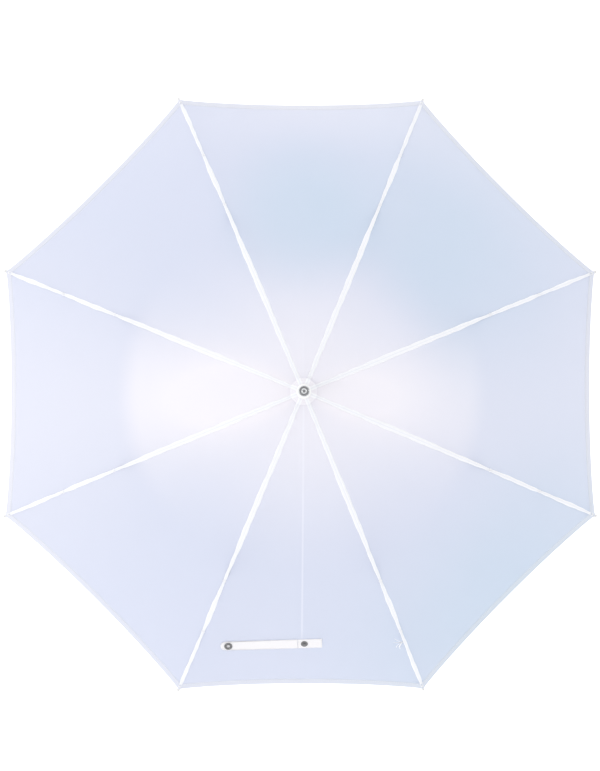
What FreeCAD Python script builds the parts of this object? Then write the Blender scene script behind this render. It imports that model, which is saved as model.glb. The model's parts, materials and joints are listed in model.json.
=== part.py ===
"""Shoot-through photographic umbrella: eight hinged ribs on a centre shaft, with a tie strap.

Millimetres, +Z up. The shaft stands on the Z axis with its lower end at the origin, and the
open canopy domes upward round it. Azimuths run anticlockwise from +X, and the front is -Y.
"""

import FreeCAD, Part
import math
import os

import Sketcher

Vector = FreeCAD.Vector

doc = FreeCAD.newDocument("PhotographicUmbrella")

# ---------------------------------------------------------------------------------------------
# Driving dimensions: plain numbers, in millimetres and degrees
# ---------------------------------------------------------------------------------------------

DIMENSIONS = {
    # Layout of the open umbrella
    "rib_count": 8,
    "pivot_height": 600,            # crown wire above the shaft's lower end
    "pivot_radius": 10,             # crown and runner hinge wires, from the shaft's axis
    "joint_radius": 245,            # rivet between rib and stretcher, from the shaft's axis
    "rib_end_radius": 414.5,
    "crown_slope": 11,              # fall of the rib at the crown
    "joint_slope": 20,
    "end_slope": 40,
    # Shaft
    "shaft_radius": 4,
    "shaft_wall": 0.8,
    "shaft_above_pivot": 22,
    "grip_length": 70,              # plain stretch that a swivel or bracket clamps
    "groove_width": 2,
    "groove_depth": 0.3,
    "end_cap_setback": 0.5,         # end cap's edge, inside the tube's outer wall
    "end_cap_head": 3,
    "end_cap_plug": 12,
    # Notched crown and runner
    "notch_radius": 14,
    "notch_width": 2,
    "notch_floor": 7.2,
    "notch_below": 4,
    "notch_above": 5,
    "wire_radius": 0.5,
    "wire_clearance": 0.1,
    "runner_clearance": 0.1,
    "sleeve_radius": 7,
    "sleeve_below": 36,
    "lip_radius": 8.2,
    "lip_height": 3,
    # Cap over the crown, and ferrule
    "cap_clearance": 0.2,
    "cap_wall": 2.3,
    "cap_top": 2.2,
    "cap_rim_top": 3.4,
    "cap_rim_below": 2,             # rim's lower edge above the hinge wire
    "ferrule_flange": 8.8,
    "ferrule_flange_height": 2,
    "ferrule_waist": 5.4,
    "ferrule_head": 7.2,
    "ferrule_head_height": 5,
    "ferrule_height": 30,
    "ferrule_nose": 3,
    # Ribs and stretchers: folded steel channels with a flat blade at the hinge wire
    "channel_wall": 0.5,
    "rib_width": 3,
    "rib_height": 2.4,
    "side_clearance": 0.15,
    "stretcher_height": 2.8,
    "channel_start": 9,             # from the hinge wire to the start of the channel
    "blade_overlap": 3,
    "blade_thickness": 1.2,
    "eye_radius": 1.9,
    "web_setback": 5.5,             # stretcher's web stops this far short of the rivet
    # Rivets and pins
    "rivet_radius": 0.7,
    "rivet_clearance": 0.05,
    "rivet_head_radius": 1.3,
    "rivet_head_height": 0.5,
    "pin_radius": 0.8,
    "stop_pin_length": 13,
    "stop_gap": 0.1,
    # Rib tips
    "tip_radius": 2.6,
    "tip_socket": 5,
    "tip_length": 7,
    "tip_nose_radius": 1.6,
    "tip_clearance": 0.1,
    # Canopy
    "cloth_thickness": 0.5,
    "cloth_clearance": 0.5,
    "cloth_edge_gap": 0.3,
    "cloth_cap_gap": 1,
    "cloth_tip_gap": 0.4,
    # Tie strap, on the front gore
    "strap_reach": 320.4,           # from the shaft's axis, seen along the shaft
    "strap_skew": 2.1,              # turn of the strap on the cloth: its tail points a little down
    "strap_width": 14,
    "strap_thickness": 0.8,
    "strap_gap": 0.3,
    "strap_stitch": -5,             # the line where the sewn patch becomes the free tail
    "patch_end": 26,
    "tail_end": -104,
    "stud_place": 3.3,
    "socket_place": -94,
    "stud_base_radius": 4.4,
    "stud_base_height": 0.8,
    "stud_post_radius": 2,
    "stud_post_height": 1.6,
    "stud_shank_radius": 1.2,
    "socket_radius": 5.1,
    "socket_bore": 2.2,
    "socket_height": 1.6,
    # Sprung catch that holds the runner up
    "catch_rise": 45,               # from the catch's pin to its nose
    "catch_gap": 0.5,               # from the nose up to the open runner
    "catch_thickness": 1.2,
    "catch_clearance": 0.15,
    "catch_inner": 0.5,
    "catch_side_gap": 0.3,          # from the catch's edge to the shaft's bore
    "catch_shoulder": 10,
    "catch_eye_radius": 1.8,
    "catch_pin_clearance": 0.05,
    "nose_out": 3.2,                # how far the nose stands out of the shaft
    "nose_lip": 2,
    "nose_height": 11,
}

sheet = doc.addObject("Spreadsheet::Sheet", "Size")
for row, (alias, number) in enumerate(DIMENSIONS.items(), start=1):
    sheet.set(f"A{row}", alias)
    sheet.set(f"B{row}", str(number))
    sheet.setAlias(f"B{row}", alias)
doc.recompute()

# Sizes that follow from the driving ones, as expressions on the sheet. Each rib is two tangent
# arcs in an upright plane; the stretcher is as long as the rib's chord from wire to rivet, so
# the runner travels exactly along the shaft as the ribs fold.
LINKAGE = {
    "pitch": "360 / Size.rib_count",
    "inner_arc": "(Size.joint_radius - Size.pivot_radius)"
                 " / (sin(Size.joint_slope) - sin(Size.crown_slope))",
    "outer_arc": "(Size.rib_end_radius - Size.joint_radius)"
                 " / (sin(Size.end_slope) - sin(Size.joint_slope))",
    "joint_turn": "Size.joint_slope - Size.crown_slope",
    "end_turn": "Size.end_slope - Size.crown_slope",
    "start_turn": "Size.channel_start / Linkage.inner_arc * 180 / pi",
    "joint_drop": "Linkage.inner_arc * (cos(Size.crown_slope) - cos(Size.joint_slope))",
    "end_drop": "Linkage.joint_drop"
                " + Linkage.outer_arc * (cos(Size.joint_slope) - cos(Size.end_slope))",
    "joint_x": "Linkage.inner_arc * sin(Linkage.joint_turn)",
    "joint_z": "Linkage.inner_arc * (cos(Linkage.joint_turn) - 1)",
    "outer_centre_x": "Linkage.joint_x - Linkage.outer_arc * sin(Linkage.joint_turn)",
    "outer_centre_z": "Linkage.joint_z - Linkage.outer_arc * cos(Linkage.joint_turn)",
    "stretcher_length": "sqrt((Size.joint_radius - Size.pivot_radius) ^ 2"
                        " + Linkage.joint_drop ^ 2)",
    "stretcher_rise": "atan(Linkage.joint_drop"
                      " / (Size.joint_radius - Size.pivot_radius)) / 1 deg",
    "runner_height": "Size.pivot_height - 2 * Linkage.joint_drop",
    "stretcher_gap": "Size.rib_width + 2 * Size.side_clearance",
    "stretcher_width": "Linkage.stretcher_gap + 2 * Size.channel_wall",
    "bore_radius": "Size.shaft_radius - Size.shaft_wall",
    "cap_base": "Size.pivot_height + Size.notch_above",
    "cap_bore": "Size.notch_radius + Size.cap_clearance",
    "cap_radius": "Linkage.cap_bore + Size.cap_wall",
    "cloth_start": "Linkage.cap_radius + Size.cloth_cap_gap",
    "catch_height": "Linkage.runner_height - Size.sleeve_below - Size.catch_gap"
                    " - Size.catch_rise",
    "stop_height": "Linkage.runner_height + Size.notch_above + Size.stop_gap"
                   " + Size.pin_radius",
    "cloth_offset": "Size.rib_height / 2 + Size.cloth_clearance",
    "strap_rib_slope": "asin((Size.strap_reach / cos(Linkage.pitch / 2) - Size.joint_radius"
                       " + Linkage.outer_arc * sin(Size.joint_slope))"
                       " / (Linkage.outer_arc + Linkage.cloth_offset)) / 1 deg",
    "strap_tilt": "atan(tan(Linkage.strap_rib_slope) / cos(Linkage.pitch / 2)) / 1 deg",
    "strap_height": "Size.pivot_height - Linkage.joint_drop"
                    " + (Linkage.outer_arc + Linkage.cloth_offset)"
                    " * cos(Linkage.strap_rib_slope)"
                    " - Linkage.outer_arc * cos(Size.joint_slope)"
                    " + Size.cloth_thickness + Size.strap_gap / cos(Linkage.strap_tilt)",
}

linkage = doc.addObject("App::VarSet", "Linkage")
for quantity, expression in LINKAGE.items():
    linkage.addProperty("App::PropertyFloat", quantity)
    linkage.setExpression(quantity, expression)
    doc.recompute()

sub_parts = []


# ---------------------------------------------------------------------------------------------
# Helpers: bodies, sketches and features bound to the sheet
# ---------------------------------------------------------------------------------------------

def keep(part, label):
    """Name a finished sub-part and list it for export."""
    part.Label = label
    sub_parts.append(part)
    return part


def new_body(label):
    return keep(doc.addObject("PartDesign::Body", f"Body_{label}"), label)


def place(part, x="0", y="0", z="0", yaw="0", pitch="0", roll="0"):
    """Bind a sub-part's placement: a point, then turns about Z, Y and X."""
    turn = f"rotation({yaw}; {pitch}; {roll})"
    part.setExpression("Placement", f"placement(vector({x}; {y}; {z}); {turn})")


def origin_feature(body, role):
    return next(item for item in body.Origin.OriginFeatures if item.Role == role)


def sketch_on(body, role):
    sketch = body.newObject("Sketcher::SketchObject", "Sketch")
    sketch.AttachmentSupport = [(origin_feature(body, role), "")]
    sketch.MapMode = "FlatFace"
    return sketch


def fix_point(sketch, edge, end, x, y):
    """Hold one end of an edge at a point given by two expressions."""
    for kind, expression in (("DistanceX", x), ("DistanceY", y)):
        distance = float(sketch.evalExpression(expression))
        index = sketch.addConstraint(Sketcher.Constraint(kind, -1, 1, edge, end, distance))
        sketch.setExpression(f"Constraints[{index}]", expression)


def fix_radius(sketch, edge, expression):
    radius = float(sketch.evalExpression(expression))
    index = sketch.addConstraint(Sketcher.Constraint("Radius", edge, radius))
    sketch.setExpression(f"Constraints[{index}]", expression)


def arc_between(start, end, radius, side):
    """The shorter arc from start to end, bending "left" or "right" as it goes."""
    chord = end - start
    across = Vector(-chord.y, chord.x, 0).normalize()
    height = math.sqrt(max(radius ** 2 - (chord.Length / 2) ** 2, 0))
    sign = 1 if side == "left" else -1
    centre = (start + end) * 0.5 + across * (sign * height)
    first, last = (start, end) if side == "left" else (end, start)
    angles = [math.atan2(point.y - centre.y, point.x - centre.x) for point in (first, last)]
    return Part.ArcOfCircle(Part.Circle(centre, Vector(0, 0, 1), radius), *angles)


def outline(sketch, corners):
    """Draw a closed outline whose corners are held by expressions.

    A corner is (x, y), or (x, y, radius, side) where an arc leaves it for the next corner.
    """
    points = [Vector(float(sketch.evalExpression(corner[0])),
                     float(sketch.evalExpression(corner[1])), 0) for corner in corners]
    edges = []
    for index, corner in enumerate(corners):
        start = points[index]
        end = points[(index + 1) % len(points)]
        if len(corner) == 2:
            edge = sketch.addGeometry(Part.LineSegment(start, end))
            edges.append((edge, 1, 2))
            continue
        radius = float(sketch.evalExpression(corner[2]))
        edge = sketch.addGeometry(arc_between(start, end, radius, corner[3]))
        edges.append((edge, 1, 2) if corner[3] == "left" else (edge, 2, 1))
    for index, (edge, start_end, far_end) in enumerate(edges):
        following = edges[(index + 1) % len(edges)]
        joined = Sketcher.Constraint("Coincident", edge, far_end, following[0], following[1])
        sketch.addConstraint(joined)
        fix_point(sketch, edge, start_end, corners[index][0], corners[index][1])
        if len(corners[index]) == 4:
            fix_radius(sketch, edge, corners[index][2])
    return sketch


def circle(sketch, x, y, radius):
    centre = Vector(float(sketch.evalExpression(x)), float(sketch.evalExpression(y)), 0)
    size = float(sketch.evalExpression(radius))
    edge = sketch.addGeometry(Part.Circle(centre, Vector(0, 0, 1), size))
    fix_point(sketch, edge, 3, x, y)
    fix_radius(sketch, edge, radius)
    return sketch


def revolve(body, corners, axis="V_Axis"):
    """Turn an outline in the body's XZ plane about its Z axis, or about X for H_Axis."""
    sketch = outline(sketch_on(body, "XZ_Plane"), corners)
    feature = body.newObject("PartDesign::Revolution", "Turned")
    feature.Profile = sketch
    feature.ReferenceAxis = (sketch, [axis])
    feature.Angle = 360
    doc.recompute()
    return feature


def extrude(body, kind, sketch, length, both_sides=True, backwards=False):
    """Pad or Pocket a sketch by a bound length, evenly to both sides unless told otherwise."""
    feature = body.newObject(f"PartDesign::{kind}", kind)
    feature.Profile = sketch
    feature.SideType = "Symmetric" if both_sides else "One side"
    feature.Reversed = backwards
    feature.setExpression("Length", length)
    before = 0 if body.Shape.isNull() else body.Shape.Volume
    doc.recompute()
    changed = body.Shape.Volume - before
    if (changed > 0) != (kind == "Pad") or changed == 0:
        raise RuntimeError(f"{feature.Label} of {body.Label} changed the volume by {changed}")
    return feature


def pattern_round(body, feature):
    """Repeat a feature round the body's Z axis, once for each rib."""
    pattern = body.newObject("PartDesign::PolarPattern", "Pattern")
    pattern.Originals = [feature]
    pattern.Axis = (origin_feature(body, "Z_Axis"), [""])
    pattern.Angle = 360
    pattern.setExpression("Occurrences", "Size.rib_count")
    body.Tip = pattern
    doc.recompute()


def azimuth(index):
    """Azimuth of rib number index, from 1: the ribs stand half a pitch either side of +X."""
    return f"((0.5 + {index - 1}) * Linkage.pitch)"


def place_on_rib(part, index, radius, height, pitch="0", roll="0"):
    """Place a piece in a rib's upright plane, at a radius and height."""
    turn = azimuth(index)
    place(part, f"({radius}) * cos({turn})", f"({radius}) * sin({turn})", height,
          turn, pitch, roll)


# ---------------------------------------------------------------------------------------------
# Shaft and what is fixed to it
# ---------------------------------------------------------------------------------------------

def make_shaft_tube():
    """Steel tube with a rolled groove above the grip, three cross holes and the catch's window."""
    body = new_body("shaft_tube")
    bore = "Linkage.bore_radius"
    top = "Size.pivot_height + Size.shaft_above_pivot"
    neck = "Size.shaft_radius - Size.groove_depth"
    groove_top = "Size.grip_length + Size.groove_width"
    revolve(body, [
        (bore, "0"),
        ("Size.shaft_radius", "0"),
        ("Size.shaft_radius", "Size.grip_length"),
        (neck, "Size.grip_length + Size.groove_depth"),
        (neck, f"{groove_top} - Size.groove_depth"),
        ("Size.shaft_radius", groove_top),
        ("Size.shaft_radius", top),
        (bore, top),
    ])
    for height in CROSS_PINS.values():
        hole = circle(sketch_on(body, "XZ_Plane"), "0", height, "Size.pin_radius")
        extrude(body, "Pocket", hole, "4 * Size.shaft_radius")
    half_width = "(Size.catch_thickness / 2 + Size.catch_clearance)"
    nose_top = "Linkage.catch_height + Size.catch_rise"
    low = f"{nose_top} - Size.nose_height - Size.nose_lip"
    high = f"{nose_top} + Size.catch_gap"
    window = outline(sketch_on(body, "YZ_Plane"), [
        (f"-{half_width}", low),
        (half_width, low),
        (half_width, high),
        (f"-{half_width}", high),
    ])
    extrude(body, "Pocket", window, "2 * Size.shaft_radius", both_sides=False, backwards=True)
    place(body)


def make_end_cap():
    """Plastic plug in the shaft's lower end, with a domed head."""
    body = new_body("shaft_end_cap")
    plug = "Linkage.bore_radius"
    radius = "(Size.shaft_radius - Size.end_cap_setback)"
    edge = "Size.end_cap_head / 2"
    revolve(body, [
        ("0", "Size.end_cap_plug"),
        ("0", "-Size.end_cap_head"),
        (f"{radius} - {edge}", "-Size.end_cap_head", edge, "left"),
        (radius, f"-{edge}"),
        (radius, "0"),
        (plug, "0"),
        (plug, "Size.end_cap_plug"),
    ])
    place(body)


def cut_notches(body):
    """Slot a notched ring for the rib or stretcher blades, one slot at each rib."""
    sketch = sketch_on(body, "XY_Plane")
    sketch.setExpression("AttachmentOffset",
                         "placement(vector(0; 0; 0); rotation(Linkage.pitch / 2; 0; 0))")
    half_width = "Size.notch_width / 2"
    reach = "Size.notch_radius + Size.notch_width"
    outline(sketch, [
        ("Size.notch_floor", f"-{half_width}"),
        (reach, f"-{half_width}"),
        (reach, half_width),
        ("Size.notch_floor", half_width),
    ])
    depth = "2 * Size.notch_above + Size.wire_radius"
    pattern_round(body, extrude(body, "Pocket", sketch, depth))


def notched_rim():
    """Corners of a notched ring's outer edge, with the groove that its hinge wire lies in."""
    half_groove = "(Size.wire_radius + Size.wire_clearance)"
    floor = f"Size.pivot_radius - {half_groove}"
    return [
        ("Size.notch_radius", "-Size.notch_below"),
        ("Size.notch_radius", f"-{half_groove}"),
        (floor, f"-{half_groove}"),
        (floor, half_groove),
        ("Size.notch_radius", half_groove),
        ("Size.notch_radius", "Size.notch_above"),
    ]


def make_crown():
    """Notched ring pinned to the shaft: the ribs' blades hinge in its eight slots."""
    body = new_body("crown")
    revolve(body, [("Size.shaft_radius", "-Size.notch_below")]
            + notched_rim()
            + [("Size.shaft_radius", "Size.notch_above")])
    cut_notches(body)
    hole = circle(sketch_on(body, "XZ_Plane"), "0", CROWN_PIN_RISE, "Size.pin_radius")
    extrude(body, "Pocket", hole, "4 * Size.notch_radius")
    place(body, z="Size.pivot_height")


def make_runner():
    """Sliding sleeve with the same notched ring on top: the stretchers hinge in its slots."""
    body = new_body("runner")
    bore = "Size.shaft_radius + Size.runner_clearance"
    step = "Size.lip_radius - Size.sleeve_radius"
    foot = "-Size.sleeve_below"
    revolve(body, [
        (bore, foot),
        ("Size.lip_radius", foot),
        ("Size.lip_radius", f"{foot} + Size.lip_height"),
        ("Size.sleeve_radius", f"{foot} + Size.lip_height + {step}"),
        ("Size.sleeve_radius", "-Size.notch_below"),
        *notched_rim(),
        (bore, "Size.notch_above"),
    ])
    cut_notches(body)
    place(body, z="Linkage.runner_height")


def make_hinge_wire(label, height):
    """Round wire ring that threads every blade's eye."""
    wire = keep(doc.addObject("Part::Torus", label), label)
    wire.setExpression("Radius1", "Size.pivot_radius")
    wire.setExpression("Radius2", "Size.wire_radius")
    place(wire, z=height)


def make_cross_pin(label, length, height):
    """Straight pin across the shaft, front to back."""
    pin = keep(doc.addObject("Part::Cylinder", label), label)
    pin.setExpression("Radius", "Size.pin_radius")
    pin.setExpression("Height", length)
    place(pin, y=f"({length}) / 2", z=height, roll="90")


def make_crown_cap():
    """White cap that covers the crown and the canopy's centre hole."""
    body = new_body("crown_cap")
    drop = "Size.cap_rim_below - Size.notch_above"
    shoulder = "Size.cap_rim_top - Size.notch_above"
    revolve(body, [
        ("Size.shaft_radius", "0"),
        ("Linkage.cap_bore", "0"),
        ("Linkage.cap_bore", drop),
        ("Linkage.cap_radius", drop),
        ("Linkage.cap_radius", shoulder),
        ("Size.notch_radius", "Size.cap_top / 2"),
        ("Size.ferrule_flange", "Size.cap_top"),
        ("Size.shaft_radius", "Size.cap_top"),
    ])
    place(body, z="Linkage.cap_base")


def make_ferrule():
    """Chromed cap on the shaft's upper end: flange, waist and a domed head."""
    body = new_body("ferrule")
    bore_top = "Size.shaft_above_pivot - Size.notch_above - Size.cap_top"
    nose_foot = "(Size.ferrule_height - Size.ferrule_nose)"
    head_foot = f"({nose_foot} - Size.ferrule_head_height)"
    bevel = "(Size.ferrule_head - Size.ferrule_waist)"
    neck = "(Size.ferrule_flange - Size.ferrule_waist)"
    dome = "(Size.ferrule_head ^ 2 + Size.ferrule_nose ^ 2) / (2 * Size.ferrule_nose)"
    revolve(body, [
        ("Size.shaft_radius", "0"),
        ("Size.ferrule_flange", "0"),
        ("Size.ferrule_flange", "Size.ferrule_flange_height", neck, "right"),
        ("Size.ferrule_waist", f"Size.ferrule_flange_height + {neck}"),
        ("Size.ferrule_waist", f"{head_foot} - {bevel}"),
        ("Size.ferrule_head", head_foot),
        ("Size.ferrule_head", nose_foot, dome, "left"),
        ("0", "Size.ferrule_height"),
        ("0", bore_top),
        ("Size.shaft_radius", bore_top),
    ])
    place(body, z="Linkage.cap_base + Size.cap_top")


def make_catch_spring():
    """Flat lever inside the shaft whose nose stands out under the open runner."""
    body = new_body("catch_spring")
    eye = "Size.catch_eye_radius"
    outer = "Linkage.bore_radius - Size.catch_side_gap"
    reach = "Size.shaft_radius + Size.nose_out"
    outline_sketch = outline(sketch_on(body, "XZ_Plane"), [
        (f"-{eye}", "0", eye, "left"),
        ("0", f"-{eye}", eye, "left"),
        (eye, "0"),
        (outer, "Size.catch_shoulder"),
        (outer, "Size.catch_rise - Size.nose_height"),
        (reach, "Size.catch_rise - Size.nose_lip"),
        (reach, "Size.catch_rise"),
        ("Size.catch_inner", "Size.catch_rise"),
        ("Size.catch_inner", "Size.catch_shoulder"),
    ])
    extrude(body, "Pad", outline_sketch, "Size.catch_thickness")
    bore = "Size.pin_radius + Size.catch_pin_clearance"
    hole = circle(sketch_on(body, "XZ_Plane"), "0", "0", bore)
    extrude(body, "Pocket", hole, "2 * Size.catch_thickness")
    place(body, z="Linkage.catch_height")


# ---------------------------------------------------------------------------------------------
# Ribs and stretchers
# ---------------------------------------------------------------------------------------------

def on_inner_arc(turn, offset):
    """Point at a turn from the hinge wire, a normal offset above the rib's centre line."""
    radius = f"(Linkage.inner_arc + {offset})"
    return f"{radius} * sin({turn})", f"{radius} * cos({turn}) - Linkage.inner_arc"


def on_outer_arc(turn, offset):
    radius = f"(Linkage.outer_arc + {offset})"
    return (f"Linkage.outer_centre_x + {radius} * sin({turn})",
            f"Linkage.outer_centre_z + {radius} * cos({turn})")


def curved_strip(low, high):
    """Corners of a strip along the rib, between two offsets from its centre line."""
    turns = ("Linkage.start_turn", "Linkage.joint_turn", "Linkage.end_turn")
    radii = [{offset: f"Linkage.{arc} + {offset}" for offset in (low, high)}
             for arc in ("inner_arc", "outer_arc")]
    return [
        (*on_inner_arc(turns[0], low), radii[0][low], "right"),
        (*on_inner_arc(turns[1], low), radii[1][low], "right"),
        on_outer_arc(turns[2], low),
        (*on_outer_arc(turns[2], high), radii[1][high], "left"),
        (*on_inner_arc(turns[1], high), radii[0][high], "left"),
        on_inner_arc(turns[0], high),
    ]


def add_blade(body, channel_height):
    """Flat blade from the hinge wire's eye into the channel, with the eye's hole."""
    eye = "Size.eye_radius"
    end = "Size.channel_start + Size.blade_overlap"
    half_height = f"({channel_height} / 2 - Size.channel_wall / 2)"
    blade = outline(sketch_on(body, "XZ_Plane"), [
        (f"-{eye}", "0", eye, "left"),
        ("0", f"-{eye}"),
        (end, f"-{half_height}"),
        (end, half_height),
        ("0", eye, eye, "left"),
    ])
    extrude(body, "Pad", blade, "Size.blade_thickness")
    bore = "Size.wire_radius + 2 * Size.wire_clearance"
    hole = circle(sketch_on(body, "XZ_Plane"), "0", "0", bore)
    extrude(body, "Pocket", hole, "4 * Size.blade_thickness")


def make_rib(index):
    """Curved channel, open on the underside, from the crown to the rib's tip."""
    body = new_body(f"rib_{index}")
    half_height = "Size.rib_height / 2"
    band = outline(sketch_on(body, "XZ_Plane"), curved_strip(f"(-{half_height})", half_height))
    extrude(body, "Pad", band, "Size.rib_width")
    hollow_low = f"(-{half_height} - Size.channel_wall)"
    hollow_high = f"({half_height} - Size.channel_wall)"
    hollow = outline(sketch_on(body, "XZ_Plane"), curved_strip(hollow_low, hollow_high))
    extrude(body, "Pocket", hollow, "Size.rib_width - 2 * Size.channel_wall")
    add_blade(body, "Size.rib_height")
    hole = circle(sketch_on(body, "XZ_Plane"), "Linkage.joint_x", "Linkage.joint_z",
                  "Size.rivet_radius")
    extrude(body, "Pocket", hole, "2 * Size.rib_width")
    place_on_rib(body, index, "Size.pivot_radius", "Size.pivot_height",
                 pitch="Size.crown_slope")


def make_stretcher(index):
    """Straight channel from the runner to the rib, forked round the rib at its rivet."""
    body = new_body(f"stretcher_{index}")
    length = "Linkage.stretcher_length"
    half_height = "Size.stretcher_height / 2"
    side = outline(sketch_on(body, "XZ_Plane"), [
        ("Size.channel_start", f"-{half_height}"),
        (length, f"-{half_height}", half_height, "left"),
        (f"{length} + {half_height}", "0", half_height, "left"),
        (length, half_height),
        ("Size.channel_start", half_height),
    ])
    extrude(body, "Pad", side, "Linkage.stretcher_width")
    start = "Size.channel_start - Size.channel_wall"
    end = f"{length} + Size.stretcher_height"
    web = f"{length} - Size.web_setback"
    hollow = outline(sketch_on(body, "XZ_Plane"), [
        (start, "-Size.stretcher_height"),
        (end, "-Size.stretcher_height"),
        (end, "Size.stretcher_height"),
        (web, "Size.stretcher_height"),
        (web, f"{half_height} - Size.channel_wall"),
        (start, f"{half_height} - Size.channel_wall"),
    ])
    extrude(body, "Pocket", hollow, "Linkage.stretcher_gap")
    add_blade(body, "Size.stretcher_height")
    hole = circle(sketch_on(body, "XZ_Plane"), length, "0",
                  "Size.rivet_radius + Size.rivet_clearance")
    extrude(body, "Pocket", hole, "2 * Linkage.stretcher_width")
    place_on_rib(body, index, "Size.pivot_radius", "Linkage.runner_height",
                 pitch="-Linkage.stretcher_rise")


def make_joint_rivet(index):
    """Rivet through the stretcher's fork and the rib, headed at both ends."""
    body = new_body(f"joint_rivet_{index}")
    shank = "(Linkage.stretcher_width / 2 + Size.rivet_clearance)"
    full = f"({shank} + Size.rivet_head_height)"
    revolve(body, [
        ("0", f"-{full}"),
        ("Size.rivet_head_radius", f"-{full}"),
        ("Size.rivet_head_radius", f"-{shank}"),
        ("Size.rivet_radius", f"-{shank}"),
        ("Size.rivet_radius", shank),
        ("Size.rivet_head_radius", shank),
        ("Size.rivet_head_radius", full),
        ("0", full),
    ])
    place_on_rib(body, index, "Size.joint_radius", "Size.pivot_height - Linkage.joint_drop",
                 roll="90")


def make_rib_tip(index):
    """White plastic tip, pushed over the end of the rib, with a rounded nose."""
    body = new_body(f"rib_tip_{index}")
    nose = "Size.tip_nose_radius"
    revolve(body, [
        ("-Size.tip_socket", "0"),
        ("Size.tip_length", "0"),
        (f"Size.tip_length - {nose}", nose),
        ("0", "Size.tip_radius"),
        ("-Size.tip_socket", "Size.tip_radius"),
    ], axis="H_Axis")
    half_width = "(Size.rib_width / 2 + Size.tip_clearance)"
    half_height = "(Size.rib_height / 2 + Size.tip_clearance)"
    socket = outline(sketch_on(body, "YZ_Plane"), [
        (f"-{half_width}", f"-{half_height}"),
        (half_width, f"-{half_height}"),
        (half_width, half_height),
        (f"-{half_width}", half_height),
    ])
    extrude(body, "Pocket", socket, "Size.tip_socket", both_sides=False)
    place_on_rib(body, index, "Size.rib_end_radius", "Size.pivot_height - Linkage.end_drop",
                 pitch="Size.end_slope")


# ---------------------------------------------------------------------------------------------
# Canopy: one panel between each two ribs, straight across from rib to rib
# ---------------------------------------------------------------------------------------------

def size(alias):
    return getattr(sheet, alias)


def rib_profile(slope, offset):
    """Radius and height of a point above the rib's centre line, where the rib falls by slope."""
    inner = slope <= size("joint_slope")
    start_slope = size("crown_slope") if inner else size("joint_slope")
    start_radius = size("pivot_radius") if inner else size("joint_radius")
    start_drop = 0 if inner else linkage.joint_drop
    arc = linkage.inner_arc if inner else linkage.outer_arc
    angle = math.radians(slope)
    first = math.radians(start_slope)
    radius = start_radius + arc * (math.sin(angle) - math.sin(first)) + offset * math.sin(angle)
    drop = start_drop + arc * (math.cos(first) - math.cos(angle)) - offset * math.cos(angle)
    return radius, size("pivot_height") - drop


def gore_edge(slopes, side):
    """Arc along one side of a gore whose middle lies on +X; side is 1 or -1."""
    half = math.radians(linkage.pitch / 2)
    gap = size("cloth_edge_gap")
    points = []
    for slope in slopes:
        radius, height = rib_profile(slope, linkage.cloth_offset)
        along = radius * math.cos(half) + gap * math.sin(half)
        across = radius * math.sin(half) - gap * math.cos(half)
        points.append(Vector(along, side * across, height))
    return Part.Arc(*points).toShape()


def gore_band(low_slope, high_slope):
    """Closed solid of one stretch of a gore, between two slopes of the ribs."""
    slopes = (low_slope, (low_slope + high_slope) / 2, high_slope)
    face = Part.makeRuledSurface(gore_edge(slopes, 1), gore_edge(slopes, -1))
    return face.extrude(Vector(0, 0, size("cloth_thickness")))


def gore_shape():
    inner_radius = linkage.cloth_start - size("pivot_radius")
    sine = inner_radius + linkage.inner_arc * math.sin(math.radians(size("crown_slope")))
    start = math.degrees(math.asin(sine / (linkage.inner_arc + linkage.cloth_offset)))
    short_of_end = size("tip_socket") + size("cloth_tip_gap")
    end = size("end_slope") - math.degrees(short_of_end / linkage.outer_arc)
    joint = size("joint_slope")
    return gore_band(start, joint).fuse(gore_band(joint, end)).removeSplitter()


def make_gore(index, shape):
    """Cloth panel from rib number index to the next one round."""
    gore = keep(doc.addObject("Part::Feature", f"gore_{index}"), f"gore_{index}")
    gore.Shape = shape
    middle = index * linkage.pitch
    gore.Placement = FreeCAD.Placement(Vector(0, 0, 0),
                                       FreeCAD.Rotation(Vector(0, 0, 1), middle))


# ---------------------------------------------------------------------------------------------
# Tie strap: a patch sewn to the front gore, a free tail, and a snap on each
# ---------------------------------------------------------------------------------------------

def place_on_strap(part, x="0", lift="0"):
    """Place a piece on the front gore's slope, at x along the strap and lifted off it."""
    slope = ("placement(vector(0; -Size.strap_reach; Linkage.strap_height);"
             " rotation(0; 0; Linkage.strap_tilt))")
    skew = "placement(vector(0; 0; 0); rotation(Size.strap_skew; 0; 0))"
    along = f"placement(vector({x}; 0; {lift}); rotation(0; 0; 0))"
    part.setExpression("Placement", f"{slope} * {skew} * {along}")


def make_strap_patch():
    """The sewn end of the strap, with the hole for the stud's shank."""
    body = new_body("strap_patch")
    half_width = "Size.strap_width / 2"
    patch = outline(sketch_on(body, "XY_Plane"), [
        ("Size.strap_stitch", f"-{half_width}"),
        ("Size.patch_end", f"-{half_width}"),
        ("Size.patch_end", half_width),
        ("Size.strap_stitch", half_width),
    ])
    extrude(body, "Pad", patch, "Size.strap_thickness", both_sides=False)
    hole = circle(sketch_on(body, "XY_Plane"), "Size.stud_place", "0", "Size.stud_shank_radius")
    extrude(body, "Pocket", hole, "3 * Size.strap_thickness")
    place_on_strap(body)


def make_strap_tail():
    """The free end of the strap: it lifts from the stitch line, and its far end is round."""
    body = new_body("strap_tail")
    half_width = "Size.strap_width / 2"
    near = "Size.strap_stitch - Size.strap_gap"
    round_start = f"Size.tail_end + {half_width}"
    tail = outline(sketch_on(body, "XY_Plane"), [
        (near, f"-{half_width}"),
        (near, half_width),
        (round_start, half_width, half_width, "left"),
        ("Size.tail_end", "0", half_width, "left"),
        (round_start, f"-{half_width}"),
    ])
    extrude(body, "Pad", tail, "Size.strap_thickness", both_sides=False)
    hole = circle(sketch_on(body, "XY_Plane"), "Size.socket_place", "0", "Size.socket_bore")
    extrude(body, "Pocket", hole, "3 * Size.strap_thickness")
    place_on_strap(body)


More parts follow.
